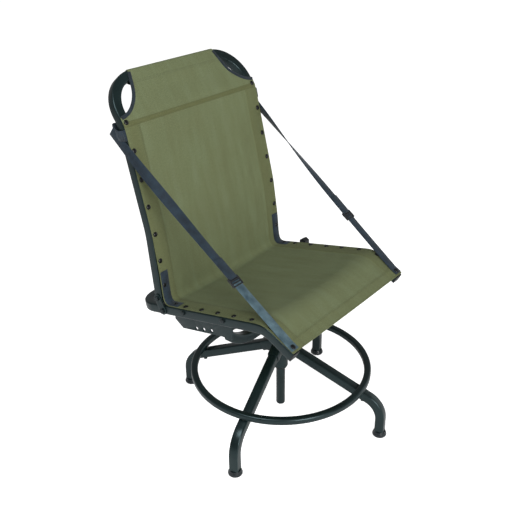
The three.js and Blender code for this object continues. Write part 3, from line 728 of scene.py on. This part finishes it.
# between them the cloth turns from seat to back in one curve, pulled by these two handles
TURN_STEPS = 22
SEAT_PULL, BACK_PULL = 27, 58
# the sleeve over the top bar: how far it reaches past the bar's middle, how far from the middle
# its round corners are centred, and how it comes back down behind: (along the head, forward)
SLEEVE_REACH = 8
SLEEVE_CORNER = 8.2
SLEEVE_TAIL = [
    (8, -CLOTH_TOP), (-8, -CLOTH_TOP), (-14, -12.6), (-20, -6), (-26, 1), (-31, 6.6), (-36, 8.8), (-40, 9),
]


def offset_point(station, distance):
    at, heading, side = station
    out = SIDE_X.cross(heading)
    return (at + out * distance, out)


def back_standoff(z):
    """How far the cloth's face stands in front of the back tube's middle."""
    return CLOTH_TOP + 5.2 * (1 - smoothstep(z, 450, 600))


def sling_profile():
    """Points and outward normals of the cloth's face in the side view, front hem to sleeve."""
    pen = rail_pen(0).straight(FRONT_TAIL, 10).bend(-FRONT_BEND, FRONT_RADIUS, SIDE_X, 10)
    pen.straight((SEAT_END_Y - FRONT_BEND_Y) / math.cos(rad(SEAT_SLOPE)), 34)
    profile = [offset_point(s, CLOTH_TOP) for s in pen.stations]
    seat_end, seat_heading = profile[-1][0], pen.heading.copy()
    upper = back_pen(0, BACK_START_Z, 26)
    start = offset_point(upper.stations[0], back_standoff(BACK_START_Z))[0]
    low = seat_end + seat_heading * SEAT_PULL
    high = start - upper.stations[0][1] * BACK_PULL
    for i in range(1, TURN_STEPS):
        t = i / TURN_STEPS
        u = 1 - t
        at = seat_end * u**3 + low * 3 * u * u * t + high * 3 * u * t * t + start * t**3
        along = (low - seat_end) * u * u + (high - low) * 2 * u * t + (start - high) * t * t
        profile.append((at, SIDE_X.cross(along.normalized())))
    for station in upper.stations[:-1]:
        profile.append(offset_point(station, back_standoff(station[0].z)))
    head = leaning(LEAN_HEAD)
    out = SIDE_X.cross(head)
    for i in range(1, 27):
        s = -ARCH_RADIUS + (ARCH_RADIUS + SLEEVE_REACH) * i / 26
        profile.append((TOP_BAR + head * s + out * CLOTH_TOP, out))
    corner, radius = SLEEVE_CORNER, CLOTH_TOP - SLEEVE_CORNER
    for turn_from, centre in ((90, (corner, corner)), (0, (corner, -corner))):
        for i in range(1, 6):
            angle = rad(turn_from - 90 * i / 5)
            normal = head * math.cos(angle) + out * math.sin(angle)
            profile.append((TOP_BAR + head * centre[0] + out * centre[1] + normal * radius, normal))
    for (last_s, last_n), (s, n) in zip(SLEEVE_TAIL, SLEEVE_TAIL[1:]):
        along = (head * (s - last_s) + out * (n - last_n)).normalized()
        profile.append((TOP_BAR + head * s + out * n, SIDE_X.cross(along)))
    return profile


class Sling:
    """The cloth's face: v runs along it from the front hem, x across it from the middle."""

    # the hollow cut beside the head panel: (distance along from the bar, half width)
    EAR = [
        (-97.5, SLING_HALF), (-96.2, 234), (-94, 226), (-91, 217.5), (-86.5, 209), (-80.5, 200),
        (-73.5, 192), (-65.5, 184), (-57, 177.5), (-48, 172), (-40, 168.5), (-28, 164.2),
        (-15, 160), (-2, 156), (10, 152.5), (16, HEAD_HALF),
    ]

    def __init__(self):
        self.points = sling_profile()
        self.v = [0]
        for (a, _), (b, _) in zip(self.points, self.points[1:]):
            self.v.append(self.v[-1] + (b - a).length)
        self.length = self.v[-1]
        head = leaning(LEAN_HEAD)
        out = SIDE_X.cross(head)
        # the place on the front of the cloth that lies level with the top bar's middle
        self.bar_v = self.nearest(
            lambda p: abs((p - TOP_BAR).dot(head)) + (0 if (p - TOP_BAR).dot(out) > 10 else 99)
        )
        self.seam_v = self.bar_v - HEAD_SEAM_BELOW_BAR
        self.junction_v = self.nearest(lambda p: abs(p.z - JUNCTION_Z) + abs(p.y - JUNCTION_Y))

    def nearest(self, distance):
        return min((distance(p), v) for (p, _), v in zip(self.points, self.v))[1]

    def at(self, v):
        v = min(max(v, 0), self.length)
        i = 0
        while i < len(self.v) - 2 and self.v[i + 1] < v:
            i += 1
        t = (v - self.v[i]) / (self.v[i + 1] - self.v[i])
        (a, na), (b, nb) = self.points[i], self.points[i + 1]
        return a.lerp(b, t), na.lerp(nb, t).normalized()

    def half_width(self, v):
        s = v - self.bar_v
        if s <= self.EAR[0][0]:
            return SLING_HALF
        for (s0, w0), (s1, w1) in zip(self.EAR, self.EAR[1:]):
            if s <= s1:
                return w0 + (w1 - w0) * (s - s0) / (s1 - s0)
        return HEAD_HALF

    def relief(self, x, v):
        """Height of the face over the stretched profile: sag, hems and the seam."""
        inside = min(abs(x) / FREE_HALF, 1)
        bow = (1 - inside * inside) ** 1.4
        seat = 3 + 6.5 * smoothstep(v, 20, 170) - 6 * smoothstep(v, self.junction_v - 130, self.junction_v)
        back = 6 * smoothstep(v, self.junction_v + 10, self.junction_v + 170)
        back -= 4 * smoothstep(v, self.seam_v - 180, self.seam_v - 10)
        top = 1 - smoothstep(v, self.bar_v - 60, self.bar_v - 12)
        height = -(seat + back) * bow * top
        if v < self.seam_v - 4:
            height += 1.0 * smoothstep(abs(x), 194.5, 197.5)
            height += 0.9 * (1 - smoothstep(v, 28, 31))
        ripple = math.sin(v * 0.11 + 1.7 * math.sin(x * 0.02)) * 0.35 + math.sin(v * 0.043 + 2) * 0.5
        height += ripple * smoothstep(abs(x), 90, 200) * (1 - smoothstep(abs(x), 205, FREE_HALF)) * top
        height += 1.3 * math.exp(-(((v - self.seam_v) / 3.2) ** 2)) * top
        return height

    def point(self, x, v, lift=0.0):
        at, normal = self.at(v)
        return at + SIDE_X * x + normal * (self.relief(x, v) + lift)

    def rows(self):
        marks = {0, self.length}
        v = 0
        while v < self.length:
            marks.add(round(v, 3))
            near_ear = self.bar_v - 106 < v < self.bar_v - 84
            near_top = v > self.bar_v
            v += 1.7 if near_ear or near_top else 6.5
        marks |= {27.5, 29, 31.5}
        marks |= {self.seam_v + step for step in (-4, -2, 0, 2, 4)}
        return sorted(marks)


sling = Sling()
OLIVE = woven_fabric("olive_fabric", OLIVE_TONES, (HEM_FRONT * MM, HEM_SIDE * MM, sling.seam_v * MM))
# shares of the half width, close together where the side hem begins
COLUMN_SHARES = (
    0, 0.08, 0.16, 0.24, 0.32, 0.4, 0.48, 0.56, 0.64, 0.71,
    0.77, 0.797, 0.806, 0.815, 0.86, 0.9, 0.95, 0.985, 1,
)
COLUMNS = sorted({sign * share for sign in (-1, 1) for share in COLUMN_SHARES})


def build_sling():
    rows = sling.rows()
    points, uvs, faces, tops = [], [], [], []
    for v in rows:
        half = sling.half_width(v)
        for f in COLUMNS:
            x = half * f
            points.append(sling.point(x, v))
            uvs.append((x * MM, v * MM))
    n = len(COLUMNS)
    sleeve_from = sling.bar_v - SLEEVE_BELOW_BAR
    for i in range(len(rows) - 1):
        for k in range(n - 1):
            faces.append((i * n + k, i * n + k + 1, (i + 1) * n + k + 1, (i + 1) * n + k))
            tops.append(1 if rows[i] >= sleeve_from else 0)
    area = 0
    mesh = mesh_from("sling_face", points, faces, uvs)
    for polygon, top in zip(mesh.polygons, tops):
        polygon.material_index = top
        area += polygon.area
    holder = bpy.data.objects.new("sling_face", mesh)
    bpy.context.scene.collection.objects.link(holder)
    mesh.materials.append(OLIVE)
    mesh.materials.append(OLIVE_DARK)
    thicken = holder.modifiers.new("thickness", "SOLIDIFY")
    thicken.thickness = CLOTH
    thicken.offset = -1
    thicken.use_even_offset = False
    depsgraph = bpy.context.evaluated_depsgraph_get()
    solid = bpy.data.meshes.new_from_object(holder.evaluated_get(depsgraph))
    bpy.data.objects.remove(holder)
    solid.materials.clear()
    looks = [OLIVE, OLIVE_DARK]
    piece = finish_mesh("sling", solid, looks, None, ["seat_sling", "back_sling"])
    return piece, area * MM * MM


def over_joint(piece):
    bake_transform(piece)


sling_piece, sling_area = build_sling()
over_joint(sling_piece)


def rivet(name, x, v, body, lift=0.0, radius=6.6):
    normal = sling.at(v)[1]
    centre = sling.point(x, v, lift)
    dome = turned(
        name,
        [(0, -1.2), (radius - 0.5, -1.2), (radius, 0), (radius, 0.7), (radius * 0.88, 1.8),
         (radius * 0.62, 2.75), (radius * 0.3, 3.15), (0, 3.25)],
        20,
    )
    dome.transform(basis_at(centre, SIDE_X, normal.cross(SIDE_X)))
    return finish_mesh(name, dome, [RIVET], body)


def v_at_height(z):
    back = range(int(sling.junction_v), int(sling.bar_v), 2)
    return min((abs(sling.at(v)[0].z - z), v) for v in back)[1]


def v_at_depth(y):
    seat = range(0, int(sling.junction_v), 2)
    return min((abs(sling.at(v)[0].y - y), v) for v in seat)[1]


SEAT_RIVET_X = 232
SEAT_RIVET_Y = (125.4, 69.7, 15.4, -38.8, -94.1, -152)
BACK_RIVET_X = 233
BACK_RIVET_Z = (443.1, 510.5, 580.6, 650.5, 719.3, 788.6, 857)
for side, s in SIDES:
    for i, y in enumerate(SEAT_RIVET_Y):
        rivet(f"{side}_seat_rivet_{i + 1}", s * SEAT_RIVET_X, v_at_depth(y), "seat")
    for i, z in enumerate(BACK_RIVET_Z):
        rivet(f"{side}_back_rivet_{i + 1}", s * BACK_RIVET_X, v_at_height(z), "back")

# ------------------------------------------------------------------ stitching and binding


def stitches(name, lines, material, pitch=4.8, length=3.3, width=0.75, height=0.5):
    """Rows of small thread stitches along lines of points with normals."""
    points, faces = [], []
    for line in lines:
        carried = 0.0
        for (a, na), (b, _) in zip(line, line[1:]):
            step = (b - a).length
            if step < 1e-6:
                continue
            along = (b - a) / step
            where = pitch - carried
            while where < step:
                centre = a + along * where + na * 0.12
                across = na.cross(along).normalized()
                base = len(points)
                points += [
                    centre - along * length / 2,
                    centre + along * length / 2,
                    centre + across * width / 2,
                    centre - across * width / 2,
                    centre + na * height,
                    centre - na * 0.3,
                ]
                for pair in ((2, 4), (4, 3), (3, 5), (5, 2)):
                    faces.append((base, base + pair[0], base + pair[1]))
                    faces.append((base + 1, base + pair[1], base + pair[0]))
                where += pitch
            carried = pitch - (where - step)
    return finish_mesh(name, mesh_from(name, points, faces), [material], None, angle=80)


def sling_line(x_of_v, v0, v1, step=5):
    line = []
    n = max(2, int((v1 - v0) / step))
    for i in range(n + 1):
        v = v0 + (v1 - v0) * i / n
        line.append((sling.point(x_of_v(v), v), sling.at(v)[1]))
    return line


def cross_line(v, half, step=8):
    n = int(2 * half / step)
    normal = sling.at(v)[1]
    return [(sling.point(-half + 2 * half * i / n, v), normal) for i in range(n + 1)]


SIDE_STITCH_X = 200
hem_lines = []
for v, half in ((26, 236), (3.5, 238)):
    hem_lines.append(cross_line(v, half))
for s in (-1, 1):
    hem_lines.append(sling_line(lambda v, s=s: s * SIDE_STITCH_X, 30, sling.seam_v - 6))
for offset in (-5.6, 5.6):
    hem_lines.append(cross_line(sling.seam_v + offset, 238))
for below_bar, half in ((24, 158), (19.5, 157)):
    hem_lines.append(cross_line(sling.bar_v - below_bar, half))
over_joint(stitches("hem_stitches", hem_lines, THREAD))


def binding(name, s):
    """Tape folded over the hollow-cut edge beside the head panel."""
    n = 40
    v0, v1 = sling.bar_v - 98.5, sling.bar_v + 6
    edge = []
    for i in range(n + 1):
        v = v0 + (v1 - v0) * (i / n) ** 1.5
        edge.append((sling.point(s * (sling.half_width(v) - 0.2), v, -CLOTH / 2), sling.at(v)[1]))
    stations = []
    for i, (at, normal) in enumerate(edge):
        before, after = edge[max(i - 1, 0)][0], edge[min(i + 1, n)][0]
        heading = (after - before).normalized()
        side = normal.cross(heading).normalized()
        stations.append((at, heading, side))
    section = rounded_section(9.5, CLOTH + 1.8, 1.5, 3)
    section = [(a + s * 2.6, b) for a, b in section]
    mesh = sweep(name, stations, section, uvs=True)
    return finish_mesh(name, mesh, [BINDING], "back")


bindings = [binding(side + "_head_binding", s) for side, s in SIDES]


def corner_tape(side, s):
    """Webbing folded into the corner between seat and back, over the hem."""
    n = 34
    v0, v1 = sling.junction_v - 46, sling.junction_v + 85
    middle, half, edge = 228.5, 12.5, 1.2
    points, uvs, faces = [], [], []
    for i in range(n + 1):
        v = v0 + (v1 - v0) * i / n
        for x in (-half, -half + edge, 0, half - edge, half):
            lift = 1.5 if abs(x) < half else 0.7
            points.append(sling.point(s * (middle + x), v, lift))
            uvs.append((x * MM, v * MM))
        for x in (half, -half):
            points.append(sling.point(s * (middle + x), v, -0.3))
            uvs.append((x * MM, v * MM))
    m = 7
    for i in range(n):
        for k in range(m):
            j = (k + 1) % m
            faces.append((i * m + k, i * m + j, (i + 1) * m + j, (i + 1) * m + k))
    faces.append(tuple(range(m)))
    faces.append(tuple(n * m + k for k in range(m)))
    mesh = mesh_from(side + "_corner_tape", points, faces, uvs)
    piece = finish_mesh(side + "_corner_tape", mesh, [WEBBING], None)
    over_joint(piece)
    return piece


tapes = [corner_tape(side, s) for side, s in SIDES]
for side, s in SIDES:
    rivet(side + "_corner_rivet", s * 229, sling.junction_v - 30, "seat", 1.2, 5.2)

# ------------------------------------------------------------------ straps
STRAP_WIDTH, STRAP_THICK = 25, 2.2
STRAP_SAG = 5
STRAP_HEAD = (247.4, 327, 832.3)
STRAP_LIFT = STRAP_THICK / 2 + 0.3
# along the cloth, in mm
FOOT_FLAT = (5, 24)
FOOT_RIVET_V = 13
# shares of the way from the foot to the head
TWIST = (0.382, 1.068)
DRIFT_END = 0.82
BUCKLE_AT = 0.286
TAIL_FROM, TAIL_TO = BUCKLE_AT + 0.012, BUCKLE_AT + 0.1


class Strap:
    """The line of a strap from the seat's front corner up to its loop, t from 0 to 1."""

    def __init__(self, s):
        self.s = s
        self.foot = sling.point(RAIL_X, FOOT_FLAT[1], STRAP_LIFT) - SIDE_X * RAIL_X
        self.head = Vector((0, STRAP_HEAD[1], STRAP_HEAD[2]))
        self.along = (self.head - self.foot).normalized()
        self.up = SIDE_X.cross(self.along)

    def station(self, t, lift=0.0):
        drift = min(t / DRIFT_END, 1)
        x = self.s * (RAIL_X + (STRAP_HEAD[0] - RAIL_X) * drift)
        sag = STRAP_SAG * 4 * t * (1 - t)
        at = self.foot.lerp(self.head, t) + SIDE_X * x - self.up * sag
        turn = smoothstep(t, *TWIST) * math.pi / 2
        width = SIDE_X * (-self.s * math.cos(turn)) + self.up * math.sin(turn)
        out = width.cross(self.along).normalized() * -self.s
        slope = -self.up * (STRAP_SAG * 4 * (1 - 2 * t)) + (self.head - self.foot)
        return at + out * lift, slope.normalized(), width

    def stations(self, t0, t1, n, lift=0.0):
        return [self.station(t0 + (t1 - t0) * i / n, lift) for i in range(n + 1)]


def flat_foot(s):
    """The strap's end that lies on the seat's front corner."""
    flat = []
    for i in range(5):
        v = FOOT_FLAT[0] + (FOOT_FLAT[1] - FOOT_FLAT[0]) * i / 5
        at = sling.point(s * RAIL_X, v, STRAP_LIFT)
        flat.append((at, sling.at(v)[1].cross(SIDE_X) * -1, SIDE_X * -s))
    return flat


def ladder_buckle(side, s, strap):
    at, along, width = strap.station(BUCKLE_AT)
    up = width.cross(along)
    bars = []
    for a in (-15, 15):
        bars.append(block((3.4, 25, 5.4), 1.2, basis_at(at + width * a, width, along)))
    for b, lift, thick in ((-11, 0, 3.6), (-3.6, 2.2, 2.6), (4.2, 2.2, 2.6), (11, 0, 3.6)):
        middle = at + along * b + up * (lift * -s)
        bars.append(block((31, 3.4, thick), 1.0, basis_at(middle, width, along)))
    name = side + "_buckle_finish"
    mesh = join_meshes(name, bars)
    return finish_mesh(name, mesh, [PLASTIC], None, [side + "_buckle"])


for side, s in SIDES:
    strap = Strap(s)
    section = rounded_section(STRAP_WIDTH, STRAP_THICK, 0.9, 2)
    lower = flat_foot(s) + strap.stations(0, BUCKLE_AT, 14)
    upper = strap.stations(BUCKLE_AT, 1, 60)
    tail = strap.stations(TAIL_FROM, TAIL_TO, 10, 2.5)
    # the near strap's lower part takes the copy of the webbing with the painted sheen of light
    lower_strap_look = SHEEN_WEBBING if side == "left" else WEBBING
    parts = (("_strap_lower", lower, lower_strap_look), ("_strap_upper", upper, WEBBING), ("_strap_tail", tail, WEBBING))
    pieces = []
    for name, path, look in parts:
        mesh = sweep(side + name, path, section, uvs=True)
        pieces.append(finish_mesh(side + name, mesh, [look], None))
    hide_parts(side + "_strap")
    pieces.append(ladder_buckle(side, s, strap))
    for piece in pieces:
        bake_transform(piece)
    rivet(side + "_strap_rivet", s * RAIL_X, FOOT_RIVET_V, "seat", STRAP_THICK + 0.3)


LOOP_Z = 829
LOOP_WIDTH, LOOP_THICK = 26, 1.8
LOOP_FRONT = 12.6
LOOP_REAR_RISE = 0.7
# the loop seen from above: (outward from the tube's middle, forward)
LOOP_OUTLINE = [
    (-14.2, 13.9), (14.2, 13.9), (16.4, 9), (17, 0), (16.8, -14), (14, -27),
    (6, -33), (-5, -31), (-12, -22), (-14.6, -9), (-14.9, 4),
]


def strap_loop(side, s):
    """Webbing wrapped loosely round the back tube, over the head of the strap."""
    pen = back_pen(s * RAIL_X, PIVOT_Z, 30)
    centre = min(pen.stations, key=lambda station: abs(station[0].z - LOOP_Z))[0]
    heading = leaning(LEAN_MID)
    front = SIDE_X.cross(heading)
    loop = []
    n = len(LOOP_OUTLINE)
    for i in range(n * 5):
        k, t = divmod(i, 5)
        t /= 5
        p = [Vector(LOOP_OUTLINE[(k + j - 1) % n]).to_3d() for j in range(4)]
        at = 0.5 * (
            2 * p[1] + (p[2] - p[0]) * t + (2 * p[0] - 5 * p[1] + 4 * p[2] - p[3]) * t * t
            + (3 * p[1] - p[0] - 3 * p[2] + p[3]) * t ** 3
        )
        rise = heading * (LOOP_REAR_RISE * max(0, -at.y - 8))
        loop.append(centre + SIDE_X * (s * at.x) + front * min(at.y, LOOP_FRONT) + rise)
    stations = []
    for i, at in enumerate(loop):
        along = (loop[(i + 1) % len(loop)] - loop[i - 1]).normalized()
        stations.append((at, along, heading))
    name = side + "_strap_loop_finish"
    section = rounded_section(LOOP_WIDTH, LOOP_THICK, 0.7, 2)
    mesh = sweep(name, stations, section, closed=True, uvs=True)
    finish_mesh(name, mesh, [WEBBING], "back", [side + "_strap_loop"])


for side, s in SIDES:
    strap_loop(side, s)

# ------------------------------------------------------------------ hardware
# the CAD's own pieces, with their edges rounded over
EDGE_WIDTH = {"frame_paint": 0.7, "dark_steel": 0.6, "black_plastic": 0.9, "bearing_steel": 0.4}
LOOK = {
    "frame_paint": FRAME,
    "dark_steel": STEEL,
    "bearing_steel": BRIGHT,
    "black_plastic": PLASTIC,
    "rubber": RUBBER,
    "sling_fabric": OLIVE,
    "webbing": WEBBING,
}
DONE = {"seat_frame", "back_frame", "cross_tube", "footrest_ring", "seat_sling", "back_sling"}
for side, _ in SIDES:
    DONE |= {side + "_strap", side + "_buckle", side + "_strap_loop"}
for side in LEGS:
    DONE |= {side + "_leg", side + "_foot"}
for node in sorted(set(frame["nodes"]) - DONE):
    refined(node, LOOK[SLOT_OF[node]], EDGE_WIDTH[SLOT_OF[node]])
for node, piece in frame["nodes"].items():
    piece.data.materials.clear()
    piece.data.materials.append(LOOK[SLOT_OF[node]])
